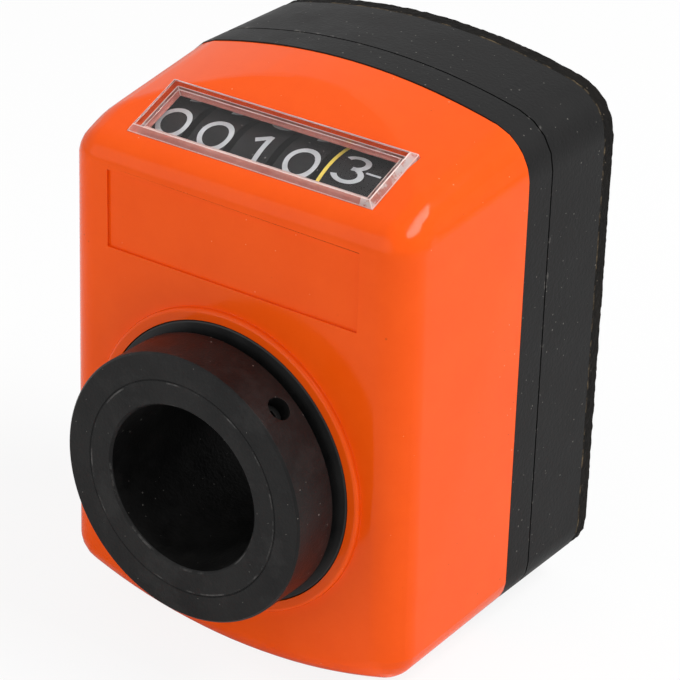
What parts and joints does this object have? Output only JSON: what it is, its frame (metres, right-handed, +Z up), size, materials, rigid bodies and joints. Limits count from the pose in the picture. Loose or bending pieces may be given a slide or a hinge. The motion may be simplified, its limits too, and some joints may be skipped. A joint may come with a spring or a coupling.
{
  "type": "mechanical position indicator",
  "caption": "Hollow-shaft mechanical position indicator: drafted cover with a sloped counter window, split case, number drums geared to the shaft, and a clamping collar in front.",
  "frame": {"origin": "centre of the shaft bore at the rear face of the base", "axes": "+Y along the bore to the rear, where the spindle comes from; the window and collar face -Y; +Z up"},
  "size_m": [0.048, 0.0542, 0.0669],
  "materials": {
    "orange_plastic": "glossy moulded plastic",
    "black_plastic": "satin moulded plastic",
    "clear_plastic": "clear moulded plastic",
    "foam": "matt foam with a rough edge",
    "seal_rubber": "satin rubber",
    "steel": "plain steel",
    "black_steel": "blackened steel, satin",
    "bronze": "plain bearing metal",
    "drum_plastic": "satin plastic with printed digits",
    "white_plastic": "plain moulded plastic"
  },
  "bodies": {
    "housing": {"front_cover": "orange_plastic", "window_lens": "clear_plastic", "middle_frame": "black_plastic", "rear_base": "black_plastic", "rear_gasket": "foam", "torque_pin": "steel", "front_seal": "seal_rubber", "front_bush": "bronze", "rear_bush": "bronze", "counter_bracket_left": "steel", "counter_bracket_right": "steel", "counter_axle": "steel", "carry_axle": "steel", "cluster_stud": "steel", "idler_stud": "steel", "case_screws": "steel"},
    "shaft": {"hollow_shaft": "black_steel", "clamp_collar": "black_steel", "set_screw": "black_steel", "crown_gear": "bronze", "retaining_ring": "steel"},
    "cluster": {"cluster_gear": "white_plastic"},
    "idler": {"idler_gear": "white_plastic"},
    "drum_1": {"number_drum_1": "drum_plastic"},
    "drum_2": {"number_drum_2": "drum_plastic"},
    "drum_3": {"number_drum_3": "drum_plastic"},
    "drum_4": {"number_drum_4": "drum_plastic"},
    "drum_5": {"number_drum_5": "drum_plastic"},
    "carry_1": {"carry_pinion_1": "white_plastic"},
    "carry_2": {"carry_pinion_2": "white_plastic"},
    "carry_3": {"carry_pinion_3": "white_plastic"},
    "carry_4": {"carry_pinion_4": "white_plastic"}
  },
  "joints": [
    {"name": "shaft_spin", "type": "hinge", "parent": "housing", "child": "shaft", "pos_m": [0, 0, 0], "axis": [0, 1, 0], "continuous": true},
    {"name": "cluster_spin", "type": "hinge", "parent": "housing", "child": "cluster", "pos_m": [0.016, -0.01892, 0], "axis": [1, 0, 0], "continuous": true},
    {"name": "idler_spin", "type": "hinge", "parent": "housing", "child": "idler", "pos_m": [0.0187, -0.02505, 0.01207], "axis": [1, 0, 0], "continuous": true},
    {"name": "drum_1_spin", "type": "hinge", "parent": "housing", "child": "drum_1", "pos_m": [-0.017, -0.0253, 0.0256], "axis": [1, 0, 0], "continuous": true},
    {"name": "drum_2_spin", "type": "hinge", "parent": "housing", "child": "drum_2", "pos_m": [-0.0111, -0.0253, 0.0256], "axis": [1, 0, 0], "continuous": true},
    {"name": "drum_3_spin", "type": "hinge", "parent": "housing", "child": "drum_3", "pos_m": [-0.0052, -0.0253, 0.0256], "axis": [1, 0, 0], "continuous": true},
    {"name": "drum_4_spin", "type": "hinge", "parent": "housing", "child": "drum_4", "pos_m": [0.0007, -0.0253, 0.0256], "axis": [1, 0, 0], "continuous": true},
    {"name": "drum_5_spin", "type": "hinge", "parent": "housing", "child": "drum_5", "pos_m": [0.0066, -0.0253, 0.0256], "axis": [1, 0, 0], "continuous": true},
    {"name": "carry_1_spin", "type": "hinge", "parent": "housing", "child": "carry_1", "pos_m": [-0.01155, -0.01465, 0.02214], "axis": [1, 0, 0], "continuous": true},
    {"name": "carry_2_spin", "type": "hinge", "parent": "housing", "child": "carry_2", "pos_m": [-0.00565, -0.01465, 0.02214], "axis": [1, 0, 0], "continuous": true},
    {"name": "carry_3_spin", "type": "hinge", "parent": "housing", "child": "carry_3", "pos_m": [0.00025, -0.01465, 0.02214], "axis": [1, 0, 0], "continuous": true},
    {"name": "carry_4_spin", "type": "hinge", "parent": "housing", "child": "carry_4", "pos_m": [0.00615, -0.01465, 0.02214], "axis": [1, 0, 0], "continuous": true}
  ],
  "couplings": [
    {"joint": "cluster_spin", "follows": "shaft_spin", "ratio": -4},
    {"joint": "idler_spin", "follows": "shaft_spin", "ratio": 3.2},
    {"joint": "drum_1_spin", "follows": "shaft_spin", "ratio": -0.0004},
    {"joint": "drum_2_spin", "follows": "shaft_spin", "ratio": -0.004},
    {"joint": "drum_3_spin", "follows": "shaft_spin", "ratio": -0.04},
    {"joint": "drum_4_spin", "follows": "shaft_spin", "ratio": -0.4},
    {"joint": "drum_5_spin", "follows": "shaft_spin", "ratio": -4},
    {"joint": "carry_1_spin", "follows": "shaft_spin", "ratio": 0.001},
    {"joint": "carry_2_spin", "follows": "shaft_spin", "ratio": 0.01},
    {"joint": "carry_3_spin", "follows": "shaft_spin", "ratio": 0.1},
    {"joint": "carry_4_spin", "follows": "shaft_spin", "ratio": 1}
  ]
}
